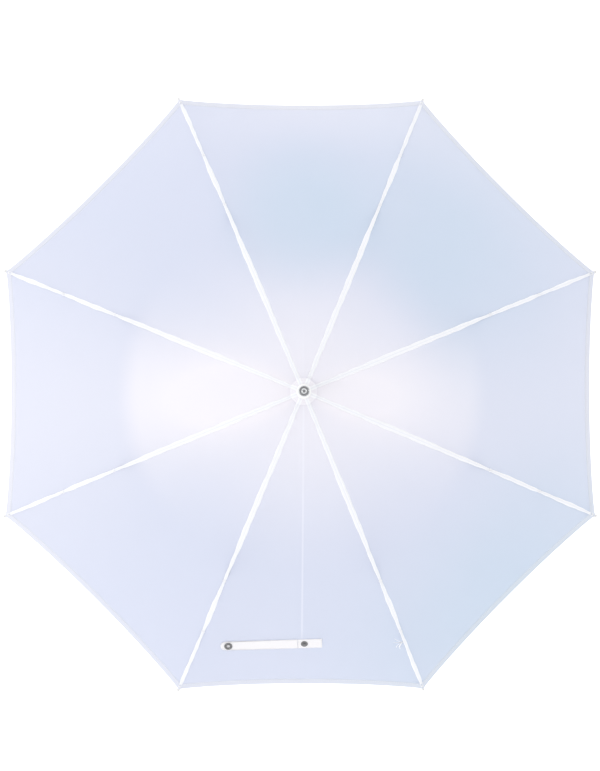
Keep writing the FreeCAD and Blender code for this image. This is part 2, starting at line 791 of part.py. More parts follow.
def make_snap_stud():
    """Male half of the snap: shank through the patch, flange and rounded post."""
    body = new_body("snap_stud")
    top = "(Size.stud_base_height + Size.stud_post_height)"
    crown = "Size.stud_post_radius / 2"
    revolve(body, [
        ("0", "-Size.strap_thickness"),
        ("Size.stud_shank_radius", "-Size.strap_thickness"),
        ("Size.stud_shank_radius", "0"),
        ("Size.stud_base_radius", "0"),
        ("Size.stud_base_radius", "Size.stud_base_height / 2"),
        ("Size.stud_post_radius", "Size.stud_base_height"),
        ("Size.stud_post_radius", f"{top} - {crown}", crown, "left"),
        (f"Size.stud_post_radius - {crown}", top),
        ("0", top),
    ])
    place_on_strap(body, "Size.stud_place", "Size.strap_thickness")


def make_snap_socket():
    """Female half of the snap: a rounded ring near the tail's free end."""
    body = new_body("snap_socket")
    edge = "Size.socket_height / 2"
    rim = f"Size.socket_radius - {edge}"
    revolve(body, [
        ("Size.socket_bore", "0"),
        ("Size.socket_radius", "0"),
        ("Size.socket_radius", edge, edge, "left"),
        (rim, "Size.socket_height"),
        (f"Size.socket_bore + {edge}", "Size.socket_height"),
        ("Size.socket_bore", edge),
    ])
    place_on_strap(body, "Size.socket_place", "Size.strap_thickness")


# ---------------------------------------------------------------------------------------------
# Build, check and export
# ---------------------------------------------------------------------------------------------

CROWN_PIN_RISE = "(Size.notch_above + Size.wire_radius + Size.wire_clearance) / 2"
CROSS_PINS = {
    "crown_pin": f"Size.pivot_height + {CROWN_PIN_RISE}",
    "stop_pin": "Linkage.stop_height",
    "catch_pin": "Linkage.catch_height",
}
PIN_LENGTHS = {
    "crown_pin": "2 * Size.notch_radius",
    "stop_pin": "Size.stop_pin_length",
    "catch_pin": "2 * Size.shaft_radius",
}

make_shaft_tube()
make_end_cap()
make_crown()
make_hinge_wire("crown_wire", "Size.pivot_height")
for pin_label, pin_height in CROSS_PINS.items():
    make_cross_pin(pin_label, PIN_LENGTHS[pin_label], pin_height)
make_crown_cap()
make_ferrule()
make_catch_spring()
make_runner()
make_hinge_wire("runner_wire", "Linkage.runner_height")

cloth_panel = gore_shape()
for number in range(1, int(size("rib_count")) + 1):
    make_rib(number)
    make_rib_tip(number)
    make_joint_rivet(number)
    make_stretcher(number)
    make_gore(number, cloth_panel)

make_strap_patch()
make_strap_tail()
make_snap_stud()
make_snap_socket()

doc.recompute()
for item in doc.Objects:
    if "Invalid" in item.State or "Error" in item.State:
        raise RuntimeError(f"{item.Label} failed: {item.State}")

os.makedirs("parts", exist_ok=True)
for part in sub_parts:
    if part.Shape.isNull() or not part.Shape.isValid() or not part.Shape.Solids:
        raise RuntimeError(f"{part.Label} has no valid solid")
    part.Shape.exportStep(f"parts/{part.Label}.step")
    print(f"{part.Label}: {part.Shape.Volume:.1f} mm3")
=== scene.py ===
import json
import math

import bmesh
import bpy
from mathutils import Matrix, Vector
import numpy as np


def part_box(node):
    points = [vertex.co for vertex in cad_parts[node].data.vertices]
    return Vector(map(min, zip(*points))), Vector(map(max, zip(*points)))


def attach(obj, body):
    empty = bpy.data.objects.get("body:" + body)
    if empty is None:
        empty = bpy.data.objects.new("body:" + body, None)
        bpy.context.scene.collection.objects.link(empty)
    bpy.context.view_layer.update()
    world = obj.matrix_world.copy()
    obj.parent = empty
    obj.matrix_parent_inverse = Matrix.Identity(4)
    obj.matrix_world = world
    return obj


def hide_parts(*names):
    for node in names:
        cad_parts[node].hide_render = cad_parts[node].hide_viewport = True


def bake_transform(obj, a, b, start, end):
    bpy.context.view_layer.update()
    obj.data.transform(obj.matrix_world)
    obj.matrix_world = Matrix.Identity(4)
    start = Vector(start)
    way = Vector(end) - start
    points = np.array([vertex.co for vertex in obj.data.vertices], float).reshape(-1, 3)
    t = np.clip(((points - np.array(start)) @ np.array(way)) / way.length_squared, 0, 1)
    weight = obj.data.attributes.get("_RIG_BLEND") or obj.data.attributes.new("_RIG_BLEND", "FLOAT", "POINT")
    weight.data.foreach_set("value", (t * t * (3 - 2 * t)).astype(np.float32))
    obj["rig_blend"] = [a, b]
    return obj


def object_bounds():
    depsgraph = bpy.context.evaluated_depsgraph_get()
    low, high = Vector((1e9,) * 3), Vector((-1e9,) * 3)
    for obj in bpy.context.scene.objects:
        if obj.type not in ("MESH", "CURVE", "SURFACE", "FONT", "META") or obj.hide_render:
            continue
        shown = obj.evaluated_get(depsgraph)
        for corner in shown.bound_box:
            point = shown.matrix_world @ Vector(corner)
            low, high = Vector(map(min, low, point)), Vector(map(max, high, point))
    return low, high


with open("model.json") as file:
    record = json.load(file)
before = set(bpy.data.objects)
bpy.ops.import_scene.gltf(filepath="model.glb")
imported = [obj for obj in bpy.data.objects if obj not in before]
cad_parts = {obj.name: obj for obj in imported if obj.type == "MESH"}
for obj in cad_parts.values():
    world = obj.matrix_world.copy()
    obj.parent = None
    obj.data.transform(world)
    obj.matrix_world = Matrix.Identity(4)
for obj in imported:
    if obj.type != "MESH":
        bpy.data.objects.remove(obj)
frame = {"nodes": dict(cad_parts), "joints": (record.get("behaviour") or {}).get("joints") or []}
cad_low, cad_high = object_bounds()

# %% [markdown]
# ## What is built here
# This is a white shoot-through umbrella: eight gores of thin translucent cloth on eight steel ribs,
# with a chromed ferrule on top and a tie strap across the front gore. The CAD frame already holds
# the steel and plastic parts. Blender adds what is sewn, and gives every surface its finish.
# All measures are in metres, and most are read from the frame, so the cloth fits the ribs exactly.

# %% Measures read from the frame
MM = 0.001
RIBS = sum(name.startswith("rib_tip_") for name in frame["nodes"])
PITCH = 2 * math.pi / RIBS
HALF_PITCH = PITCH / 2


def middle(node):
    """The middle of a CAD piece's box."""
    low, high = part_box(node)
    return (low + high) / 2


def farthest(node):
    """How far out from the shaft's axis a CAD piece reaches."""
    return max(vertex.co.xy.length for vertex in frame["nodes"][node].data.vertices)


WIRE_RADIUS = 0.5 * MM
pivot_radius = farthest("crown_wire") - WIRE_RADIUS
pivot_height = middle("crown_wire").z
joint_radius = middle("joint_rivet_1").xy.length
print(f"ribs hinge {pivot_radius / MM:.1f} mm out and {pivot_height / MM:.0f} mm up,",
      f"and meet their stretchers {joint_radius / MM:.0f} mm out")

# %% [markdown]
# ## The curve of a rib
# Each rib lies in an upright plane and is bent to two arcs that meet without a kink where the
# stretcher joins it. A point on it is given by how far along the rib it is, plus a lift square to
# the rib. One small function for this curve places the cloth, the seams and the stitches alike.

# %% The rib's curve
CROWN_SLOPE, JOINT_SLOPE, END_SLOPE = (math.radians(slope) for slope in (11, 20, 40))
TIP_LENGTH = 7 * MM

end_radius = farthest("rib_tip_1") - TIP_LENGTH * math.cos(END_SLOPE)
inner_arc = (joint_radius - pivot_radius) / (math.sin(JOINT_SLOPE) - math.sin(CROWN_SLOPE))
outer_arc = (end_radius - joint_radius) / (math.sin(END_SLOPE) - math.sin(JOINT_SLOPE))
joint_along = inner_arc * (JOINT_SLOPE - CROWN_SLOPE)
end_along = joint_along + outer_arc * (END_SLOPE - JOINT_SLOPE)


def rib_slope(along):
    """How steeply the rib falls, in radians."""
    if along < joint_along:
        return CROWN_SLOPE + along / inner_arc
    return JOINT_SLOPE + (along - joint_along) / outer_arc


def rib_profile(along, lift=0.0):
    """Radius and height of the rib's centre line, lifted square to it."""
    slope = rib_slope(along)
    if along < joint_along:
        radius = pivot_radius + inner_arc * (math.sin(slope) - math.sin(CROWN_SLOPE))
        drop = inner_arc * (math.cos(CROWN_SLOPE) - math.cos(slope))
    else:
        radius = joint_radius + outer_arc * (math.sin(slope) - math.sin(JOINT_SLOPE))
        joint_drop = inner_arc * (math.cos(CROWN_SLOPE) - math.cos(JOINT_SLOPE))
        drop = joint_drop + outer_arc * (math.cos(JOINT_SLOPE) - math.cos(slope))
    return radius + lift * math.sin(slope), pivot_height - drop + lift * math.cos(slope)


def along_at(radius):
    """How far along the rib its centre line reaches a radius."""
    if radius < joint_radius:
        sine = math.sin(CROWN_SLOPE) + (radius - pivot_radius) / inner_arc
        return inner_arc * (math.asin(sine) - CROWN_SLOPE)
    sine = math.sin(JOINT_SLOPE) + (radius - joint_radius) / outer_arc
    return joint_along + outer_arc * (math.asin(sine) - JOINT_SLOPE)


print(f"each rib is {end_along / MM:.0f} mm long, and ends {end_radius / MM:.1f} mm out")

# %% [markdown]
# ## The surface of the canopy
# Between two ribs the cloth is pulled straight across, so a gore is a bent sheet made of straight
# lines. Tension along the ribs draws its middle down a little. The hem is cut hollow between the
# tips, which keeps a real canopy's edge from fluttering. The cloth could be simulated, but under
# tension it has no folds to find, so a formula gives the same surface and stays exact at the ribs.

# %% The surface of a gore
CLOTH_LIFT = 1.95 * MM          # cloth above the rib's centre line
TIP_LIFT = 1.1 * MM             # more lift where the cloth's corner is sewn over the tip
TIP_ZONE = 14 * MM
CAP_OVERLAP = 1.5 * MM          # cloth under the rim of the crown's cap
CORNER_SHORT = 1.2 * MM         # the cloth's corner stops this far short of the rib's end
HEM_HOLLOW = 8 * MM             # how far the middle of the hem is cut back
HEM_POWER = 2.2                 # how square the hollow's ends are
SAG = 2.6 * MM
FRONT_GORE = 6

cloth_start = along_at(farthest("crown_cap") - CAP_OVERLAP)
corner_along = end_along - CORNER_SHORT


def smooth(low, high, value):
    """0 below low, 1 above high, and an even rise between."""
    share = min(max((value - low) / (high - low), 0.0), 1.0)
    return share * share * (3 - 2 * share)


def rib_azimuth(rib):
    """A rib's direction round the shaft; they are numbered anticlockwise from 1."""
    return (rib - 0.5) * PITCH


def hem_along(across):
    """Where the hem lies: across runs from -1 at one rib to 1 at the next."""
    return corner_along - HEM_HOLLOW * (1 - abs(across) ** HEM_POWER)


tail_box, patch_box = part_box("strap_tail"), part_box("strap_patch")
strap_middle = middle("strap_tail")


def strap_hold(point):
    """1 under the tie strap, where its stitching keeps the cloth flat, and 0 away from it."""
    far, near = 60 * MM, 12 * MM
    left, right = tail_box[0].x - point.x, point.x - patch_box[1].x
    beside = smooth(near, far, max(left, right))
    above = smooth(near, far, abs(point.y - strap_middle.y))
    return (1 - beside) * (1 - above)


CREASES = {FRONT_GORE: 0.55 * MM, 2: 0.2 * MM}      # height of the ridge on each creased gore
CREASE_REACH = 7 * MM


def crease(gore, across, radius):
    """The ridge left down the middle of a gore by folding it."""
    away = abs(across) * radius * math.sin(HALF_PITCH)
    return CREASES.get(gore, 0.0) * max(0.0, 1 - away / CREASE_REACH)


def gore_point(gore, across, along, lift=0.0):
    """A point on a gore's surface, lifted square to it."""
    near_tip = smooth(corner_along - TIP_ZONE, corner_along, along) * abs(across) ** 12
    radius, height = rib_profile(along, CLOTH_LIFT + TIP_LIFT * near_tip)
    slope = math.atan(math.tan(rib_slope(along)) / math.cos(HALF_PITCH))
    turn = Matrix.Rotation(gore * PITCH, 3, "Z")
    aside = across * radius * math.sin(HALF_PITCH)
    chord = turn @ Vector((radius * math.cos(HALF_PITCH), aside, 0))
    chord.z = height
    normal = turn @ Vector((math.sin(slope), 0, math.cos(slope)))
    reach = (along - cloth_start) / (corner_along - cloth_start)
    sag = SAG * (1 - across ** 2) * math.sin(math.pi * min(reach, 1.0) ** 1.3 * 0.8)
    if gore == FRONT_GORE:
        sag *= 1 - 0.95 * strap_hold(chord)
    return chord + normal * (lift - sag + crease(gore, across, radius))


def width_at(along):
    """The width of a gore from rib to rib."""
    return 2 * rib_profile(along, CLOTH_LIFT)[0] * math.sin(HALF_PITCH)


print(f"a gore runs {(hem_along(0) - cloth_start) / MM:.0f} mm down its middle",
      f"and is {width_at(corner_along) / MM:.0f} mm wide at the hem")

# %% [markdown]
# ## Helpers for sewn pieces
# Every sewn piece starts as a flat grid, whose points are then moved to where they lie on the
# canopy. The flat grid also gives the UV map, in metres of real cloth, so a weave keeps its scale
# and follows the piece when the umbrella folds. The grid's X runs outwards and its Y round the
# canopy, because then its faces point up without being turned.

# %% Helpers for sewn pieces
def finished(bm, name, material, smooth_faces=True):
    """Turn a bmesh into an object with its finish."""
    mesh = bpy.data.meshes.new(name)
    for face in bm.faces:
        face.smooth = smooth_faces
    bm.to_mesh(mesh)
    bm.free()
    mesh.materials.append(material)
    piece = bpy.data.objects.new(name, mesh)
    bpy.context.scene.collection.objects.link(piece)
    return piece


def sewn_grid(name, material, outward, round_it, place, flat):
    """A grid of outward x round_it cells, put in place; flat gives its UV in metres."""
    bm = bmesh.new()
    uv = bm.loops.layers.uv.new("UVMap")
    bmesh.ops.create_grid(bm, x_segments=outward, y_segments=round_it, size=1)
    for face in bm.faces:
        for loop in face.loops:
            loop[uv].uv = flat((loop.vert.co.x + 1) / 2, loop.vert.co.y)
    for vert in bm.verts:
        vert.co = place((vert.co.x + 1) / 2, vert.co.y)
    return finished(bm, name, material)


def rib_point(rib, along, lift=0.0):
    """A point on a rib's centre line, or lifted square to it."""
    radius, height = rib_profile(along, lift)
    azimuth = rib_azimuth(rib)
    return Vector((radius * math.cos(azimuth), radius * math.sin(azimuth), height))


def follow_cloth(piece, gore):
    """Let a piece gather with its gore.

    Its weights run along one straight line, so they are written again here by each point's share
    of the turn from rib to rib.
    """
    first = rib_azimuth(gore)
    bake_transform(piece, f"rib_{gore}", f"gore_{gore}",
             start=rib_point(gore, joint_along), end=rib_point(gore + 1, joint_along))
    for vertex, weight in zip(piece.data.vertices, piece.data.attributes["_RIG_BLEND"].data):
        turn = (math.atan2(vertex.co.y, vertex.co.x) - first + HALF_PITCH) % (2 * math.pi)
        weight.value = min(max((turn - HALF_PITCH) / PITCH, 0.0), 1.0)


# %% [markdown]
# ## Writing a finish as arithmetic
# Shader nodes are quick to drag about but slow to read. Here a small class wraps one output of the
# node tree, so that `mask * 0.5 + 0.2` adds its own Math nodes, and one method adds any other node.

# %% A small language for finishes
class Value:
    """One output in a node tree. Arithmetic on it adds Math nodes."""

    def __init__(self, finish, socket):
        self.finish = finish
        self.socket = socket

    def math(self, operation, first, second):
        return self.finish.add("ShaderNodeMath", {"operation": operation}, {0: first, 1: second})

    def __add__(self, other):
        return self.math("ADD", self, other)

    def __mul__(self, other):
        return self.math("MULTIPLY", self, other)

    def __abs__(self):
        return self.math("ABSOLUTE", self, 0.0)

    __radd__ = __add__
    __rmul__ = __mul__


class Finish:
    """A material and the nodes that make it."""

    def __init__(self, name):
        self.material = bpy.data.materials.new(name)
        self.material.use_nodes = True
        self.nodes = self.material.node_tree.nodes
        self.links = self.material.node_tree.links
        self.nodes.clear()

    def add(self, kind, settings=None, inputs=None, output=0):
        """Add a node: its settings first, then the values or links of its sockets."""
        node = self.nodes.new(kind)
        for name, setting in (settings or {}).items():
            if name == "stops":
                for element, (position, grey) in zip(node.color_ramp.elements, setting):
                    element.position = position
                    element.color = (grey, grey, grey, 1)
            else:
                setattr(node, name, setting)
        for name, value in (inputs or {}).items():
            socket = node.inputs[name]
            if isinstance(value, Value):
                self.links.new(value.socket, socket)
            else:
                socket.default_value = value
        return Value(self, node.outputs[output])

    def place(self):
        """The piece's own coordinates, in metres."""
        return self.add("ShaderNodeTexCoord", output="Object")

    def cloth_place(self):
        """The flat cloth's coordinates, in metres."""
        return self.add("ShaderNodeUVMap", {"uv_map": "UVMap"})

    def noise(self, where, scale, detail=3.0, stretch=(1, 1, 1)):
        where = self.add("ShaderNodeMapping", inputs={"Vector": where, "Scale": stretch})
        return self.add("ShaderNodeTexNoise",
                        inputs={"Vector": where, "Scale": scale, "Detail": detail}, output="Fac")

    def attribute(self, name):
        """A share stored on the mesh."""
        return self.add("ShaderNodeAttribute", {"attribute_name": name}, output="Fac")

    def threads(self, where, count_per_metre, direction):
        """Rounded parallel threads, as on a weave: 1 at the top of each thread."""
        return self.add("ShaderNodeTexWave",
                        {"wave_type": "BANDS", "bands_direction": direction, "wave_profile": "SIN"},
                        {"Vector": where, "Scale": count_per_metre * math.pi / 10}, output="Fac")

    def weave(self, where, count_per_metre):
        """Threads that cross."""
        return (self.threads(where, count_per_metre, "X")
                * self.threads(where, count_per_metre, "Y"))

    def ramp(self, value, *stops):
        """Greys set at two places along a value."""
        return self.add("ShaderNodeValToRGB", {"stops": stops}, {0: value})

    def mix(self, share, first, second):
        """Mix two colours, or one colour into another."""
        return self.add("ShaderNodeMix", {"data_type": "RGBA"}, {0: share, 6: first, 7: second},
                        output=2)

    def bump(self, height, depth, strength=1.0):
        return self.add("ShaderNodeBump", inputs={"Height": height, "Distance": depth,
                                                  "Strength": strength}, output="Normal")

    def shade(self, **inputs):
        names = {"colour": "Base Color", "roughness": "Roughness", "metal": "Metallic",
                 "normal": "Normal", "coat": "Coat Weight", "coat_roughness": "Coat Roughness",
                 "sheen": "Sheen Weight", "sheen_roughness": "Sheen Roughness"}
        return self.add("ShaderNodeBsdfPrincipled",
                        inputs={names[name]: value for name, value in inputs.items()})

    def done(self, shader):
        """Join the shader to the material's output."""
        output = self.nodes.new("ShaderNodeOutputMaterial")
        self.links.new(shader.socket, output.inputs["Surface"])
        return self.material


def colour(red, green, blue):
    """An opaque colour."""
    return (red, green, blue, 1.0)


# %% [markdown]
# ## Canopy cloth
# The cloth is a close plain weave of white nylon, about 0.1 mm thick, that scatters light through
# itself. Its colour carries painted light and shade: it is painted warmer and brighter round the
# crown and at the sides, painted darker and bluer in the back gores and at the front right, and two
# gores have a painted highlight down the line where they were folded. A Translucent shader lets light
# pass from the other side, mixed with a Principled shader for the light that comes back. The hem has
# no Translucent share, because its layers pass little light. Where each tint lies is stored on the
# mesh as attributes, because then it stays on the cloth when the umbrella folds.

# %% Canopy cloth
WEAVE_PER_METRE = 3000


def cloth_finish(name, whiter, see_through):
    """Cloth tinted by its attributes with painted light and shade; whiter is how far it goes to plain white.
    """
    finish = Finish(name)
    where = finish.cloth_place()
    painted_light = finish.attribute("painted_light")
    sky = finish.attribute("sky")
    cloudy = finish.noise(where, 9, detail=2)
    # Painted light: the cloth's colour is painted warmer and brighter round the crown and at the sides.
    tint = finish.mix(painted_light, colour(0.49, 0.535, 0.69), colour(0.87, 0.82, 0.85))
    # Painted shade: the cloth's colour is painted darker and bluer in the back gores and at the front right.
    tint = finish.mix(sky, tint, colour(0.395, 0.515, 0.655))
    tint = finish.mix(cloudy * 0.14, tint, colour(0.66, 0.64, 0.76))
    aside = abs(finish.add("ShaderNodeSeparateXYZ", inputs={0: where}, output="Y"))
    # Painted highlight: a narrow paler band down the gore's middle, where the fold's ridge catches light.
    painted_fold_highlight = finish.ramp(aside * 100, (0.05, 1.0), (0.17, 0.0)) * finish.attribute("fold_highlight_share")
    tint = finish.mix(painted_fold_highlight * 0.3, tint, colour(0.90, 0.89, 0.96))
    tint = finish.mix(whiter, tint, colour(0.93, 0.94, 0.97))
    weave = finish.weave(where, WEAVE_PER_METRE)
    wrinkles = finish.noise(where, 22, detail=4, stretch=(0.5, 1, 1))
    normal = finish.bump(weave * 0.04 + wrinkles, 1.1 * MM, 0.5)
    lit = finish.shade(colour=tint, roughness=0.7 + cloudy * 0.15, normal=normal,
                       sheen=0.15, sheen_roughness=0.5)
    through = finish.add("ShaderNodeBsdfTranslucent", inputs={"Color": colour(0.80, 0.83, 0.90)})
    mixed = finish.add("ShaderNodeMixShader", inputs={0: see_through, 1: lit, 2: through})
    return finish.done(mixed)


def doubled_cloth_finish():
    """Seam layers pass less light and look whiter; the middle, over the rib, is painted darker and bluer, as
    painted shade in its valley and for the single layer there.
    """
    finish = Finish("seam_cloth")
    where = finish.cloth_place()
    weave = finish.weave(where, WEAVE_PER_METRE)
    puckers = finish.noise(where, 160, detail=2, stretch=(1, 0.4, 1))
    normal = finish.bump(weave * 0.08 + puckers, 0.5 * MM, 0.4)
    aside = finish.add("ShaderNodeSeparateXYZ", inputs={0: where}, output="Y")
    # Painted shade: the seam's middle, in its valley over the rib, is painted darker and bluer; a single
    # layer of cloth lies there too.
    valley = finish.ramp(abs(aside) * 400, (0.15, 1.0), (0.45, 0.0))
    shade = finish.mix(puckers, colour(0.90, 0.91, 0.95), colour(0.96, 0.965, 0.985))
    shade = finish.mix(valley * 0.35, shade, colour(0.74, 0.77, 0.86))
    return finish.done(finish.shade(colour=shade, roughness=0.65 + puckers * 0.1,
                                    normal=normal, sheen=0.2))


def thread_finish():
    finish = Finish("sewing_thread")
    twist = finish.noise(finish.place(), 2600, detail=1)
    return finish.done(finish.shade(colour=finish.mix(twist, colour(0.86, 0.87, 0.91),
                                                      colour(0.97, 0.97, 0.99)),
                                    roughness=0.45 + twist * 0.2,
                                    normal=finish.bump(twist, 0.1 * MM)))


CLOTH = cloth_finish("canopy_cloth", 0.0, 0.3)
HEM_CLOTH = cloth_finish("hem_cloth", 0.42, 0.0)
SEAM_CLOTH, THREAD = doubled_cloth_finish(), thread_finish()
print("sewn finishes:", CLOTH.name, SEAM_CLOTH.name, HEM_CLOTH.name, THREAD.name)

# %% [markdown]
# ## The eight gores
# Each gore is its own sheet, as it is cut. Three attributes on its points, each from 0 to 1, tint
# it with painted light and shade: the first is painted light, warmer and brighter, most round the
# crown and at the left and right, the second is painted shade, darker and bluer, and the third is how
# strongly a painted highlight shows down its middle, where it was folded. A painted image could hold
# them too, but short formulas are easier to change and need no file.

# %% The eight gores
GORE_CELLS_OUT, GORE_CELLS_ROUND = 64, 44


def toward(point, degrees):
    """1 for a point out from the crown in this direction, and 0 from a quarter turn away."""
    azimuth = math.atan2(point.y, point.x)
    return max(0.0, math.cos(azimuth - math.radians(degrees)))


def painted_light_at(point):
    """Painted light, from 0 to 1: how much warmer and brighter the cloth's colour is painted, most at the
    crown and at the sides.
    """
    radius = point.xy.length
    left, right = toward(point, 183) ** 8, toward(point, -4) ** 8
    near = 1 - smooth(0.01, 0.24, radius)
    zone = 1 - smooth(0.205, 0.238, radius)
    inner = 0.78 * near + zone * (0.75 * left + 0.5 * right)
    outer = (1 - zone) * (0.33 * left + 0.2 * right)
    hem = 0.28 * toward(point, 80) ** 6 * smooth(0.29, 0.38, radius)
    return min(1.0, 0.06 + inner + outer + hem)


def painted_blue_shade_at(point):
    """Painted shade, from 0 to 1: how much darker and bluer the cloth's colour is painted, in the back gores
    and at the front right.
    """
    radius = point.xy.length
    ring = smooth(0.13, 0.22, radius) * (1 - 0.6 * smooth(0.28, 0.39, radius))
    back = 0.9 * toward(point, 44) ** 7 * ring
    patch = 0.85 * (1 - smooth(0.02, 0.13, (point.xy - Vector((0.0, 0.23))).length))
    front = toward(point, -45) ** 7 * smooth(0.19, 0.36, radius)
    return min(1.0, back + patch + front)


def fold_highlight_at(point):
    """How strongly a gore shows a painted highlight down the line it was folded along."""
    gore = round(math.atan2(point.y, point.x) / PITCH) % RIBS
    fades_at = 0.32 if gore == FRONT_GORE else 0.08
    shown = CREASES.get(gore, 0.0) / CREASES[FRONT_GORE]
    return shown * (1 - smooth(fades_at - 0.02, fades_at + 0.01, point.xy.length))


def tinted(piece):
    """Store the three shares of painted light and shade on the piece's points."""
    for name, formula in (("painted_light", painted_light_at), ("sky", painted_blue_shade_at), ("fold_highlight_share", fold_highlight_at)):
        attribute = piece.data.attributes.new(name, "FLOAT", "POINT")
        for vertex, share in zip(piece.data.vertices, attribute.data):
            share.value = formula(vertex.co)
    return piece


def make_gore(gore):
    """One panel of the canopy, with its tints."""
    def along_of(out, across):
        return cloth_start + out * (hem_along(across) - cloth_start)

    def place(out, across):
        return gore_point(gore, across, along_of(out, across))

    def flat(out, across):
        along = along_of(out, across)
        return along, across * width_at(along) / 2

    piece = sewn_grid(f"canopy_gore_{gore}", CLOTH, GORE_CELLS_OUT, GORE_CELLS_ROUND, place, flat)
    return tinted(piece)


gores = {gore: make_gore(gore) for gore in range(1, RIBS + 1)}
print(len(gores), "gores of", len(gores[1].data.polygons), "faces")

# %% [markdown]
# ## Hems
# The edge of the cloth is folded under and sewn. The fold is two more layers, so it is modelled as
# a narrow strip that lies on the gore's edge and rolls under it, with its row of stitches near the
# inner side. Thickening the gore's own edge would be simpler, but would leave no step to see.

# %% Hems and their stitches
HEM_WIDTH = 9 * MM
HEM_RISE = 0.45 * MM
HEM_FLAT_SHARE = 0.9            # the share of the strip that lies flat before it rolls under
HEM_CELLS = 20
STITCH_PITCH, STITCH_LENGTH = 3.0 * MM, 2.1 * MM
STITCH_RISE = 0.1 * MM
THREAD_RADIUS = 0.22 * MM
STITCH_INSET = HEM_WIDTH - 1.6 * MM


def make_hem(gore):
    """The folded strip along the edge: it rises off the gore, runs flat and rolls under."""
    def place(out, across):
        edge = hem_along(across)
        if out < HEM_FLAT_SHARE:
            rise = HEM_RISE * smooth(0, 0.12, out)
            return gore_point(gore, across, edge - HEM_WIDTH * (1 - out / HEM_FLAT_SHARE), rise)
        turn = (out - HEM_FLAT_SHARE) / (1 - HEM_FLAT_SHARE) * math.pi
        return gore_point(gore, across, edge + HEM_RISE * math.sin(turn), HEM_RISE * math.cos(turn))

    def flat(out, across):
        return out * HEM_WIDTH, across * width_at(corner_along) / 2

    return tinted(sewn_grid(f"hem_{gore}", HEM_CLOTH, HEM_CELLS, GORE_CELLS_ROUND, place, flat))


def add_stitch(bm, start, end, up):
    """One stitch: a small flattened bead of thread from start to end."""
    axis = (end - start) / 2
    side = axis.cross(up).normalized() * THREAD_RADIUS
    upward = side.cross(axis).normalized() * THREAD_RADIUS
    columns = Matrix((axis, side, upward)).transposed().to_4x4()
    bmesh.ops.create_icosphere(bm, subdivisions=1, radius=1,
                               matrix=Matrix.Translation((start + end) / 2) @ columns)


def make_hem_stitches(gore):
    """The row of stitches that holds a hem down."""
    bm = bmesh.new()
    width = width_at(corner_along)
    for number in range(1, int(width / STITCH_PITCH)):
        ends = []
        for side in (-0.5, 0.5):
            across = ((number * STITCH_PITCH + side * STITCH_LENGTH) / width) * 2 - 1
            ends.append(gore_point(gore, across, hem_along(across) - STITCH_INSET,
                                   HEM_RISE + STITCH_RISE))
        add_stitch(bm, *ends, Vector((0, 0, 1)))
    return finished(bm, f"hem_stitches_{gore}", THREAD)


hems = {gore: make_hem(gore) for gore in gores}
hem_rows = {gore: make_hem_stitches(gore) for gore in gores}
STITCH_FACES = 20
stitch_count = sum(len(row.data.polygons) for row in hem_rows.values()) // STITCH_FACES
print("hems with", stitch_count, "stitches")

# %% [markdown]
# ## Seams over the ribs
# Two gores meet over each rib. Their edges are folded into a flat band and sewn down with two rows
# of stitches, so the seam is the thickest and whitest stretch of the canopy. It is gathered where
# it is tied to the rib and spreads between the ties, most between the crown and the rib's joint.

# %% Seams
SEAM_RISE = 0.5 * MM
SEAM_START_WIDTH = 5.0 * MM     # at the cap
SEAM_WAIST = 3.6 * MM           # where a tie gathers the seam
SEAM_CELLS_OUT, SEAM_CELLS_ROUND = 150, 12
SEAM_ROW_SHARE = 0.34           # how far from the rib the stitches run, as a share of the width
TIE_PLACES = (joint_along + 12 * MM, joint_along + 92 * MM, corner_along - 5 * MM)
SEAM_BULGES = (3.4 * MM, 2.8 * MM, 1.9 * MM)
seam_end = corner_along + 0.6 * MM


def seam_width(along):
    """The seam spreads between its ties and is gathered at each."""
    start, waist = cloth_start, SEAM_START_WIDTH
    for tie, bulge in zip(TIE_PLACES, SEAM_BULGES):
        if along <= tie:
            share = max(0.0, (along - start) / (tie - start))
            spread = max(0.0, math.sin(math.pi * share ** 1.25)) ** 0.8
            return waist + (SEAM_WAIST - waist) * share + bulge * spread
        start, waist = tie, SEAM_WAIST
    return SEAM_WAIST


def seam_point(rib, aside, along, rise):
    """A point on a seam, aside from the rib by a signed distance, on whichever gore lies there."""
    if abs(aside) < 0.01 * MM:
        near_tip = smooth(corner_along - TIP_ZONE, corner_along, along)
        return rib_point(rib, along, CLOTH_LIFT + TIP_LIFT * near_tip + rise)
    share = 2 * abs(aside) / width_at(along)
    if aside > 0:
        return gore_point(rib, -1 + share, along, rise)
    return gore_point((rib - 2) % RIBS + 1, 1 - share, along, rise)


WANDER = 0.22 * MM
WANDER_STEPS = (0.0035, 0.0091, 0.021)      # lengths of the waves in a seam's edge
WANDER_HELD = 12 * MM                       # how near a tie the waves fade


def wander(rib, along, side):
    """How far a seam's edge strays, as hand-guided sewing does; none where it is tied."""
    waves = sum(math.sin(along / step + rib * 1.7 + side) for step in WANDER_STEPS)
    from_tie = min(abs(along - tie) for tie in TIE_PLACES)
    return WANDER * waves * smooth(0, WANDER_HELD, from_tie)


def make_seam(rib):
    """The flat band over a rib: rounded at its sides, with a shallow valley between."""
    def place(out, side):
        along = cloth_start + out * (seam_end - cloth_start)
        roll = math.sqrt(max(0.0, 1 - abs(side) ** 6))
        valley = 0.5 * (1 - smooth(0.0, 0.6, abs(side)))
        aside = side * seam_width(along) / 2 + wander(rib, along, round(side)) * abs(side)
        return seam_point(rib, aside, along, SEAM_RISE * (roll - valley))

    def flat(out, side):
        return out * seam_end, side * seam_width(out * seam_end) / 2

    return sewn_grid(f"seam_{rib}", SEAM_CLOTH, SEAM_CELLS_OUT, SEAM_CELLS_ROUND, place, flat)


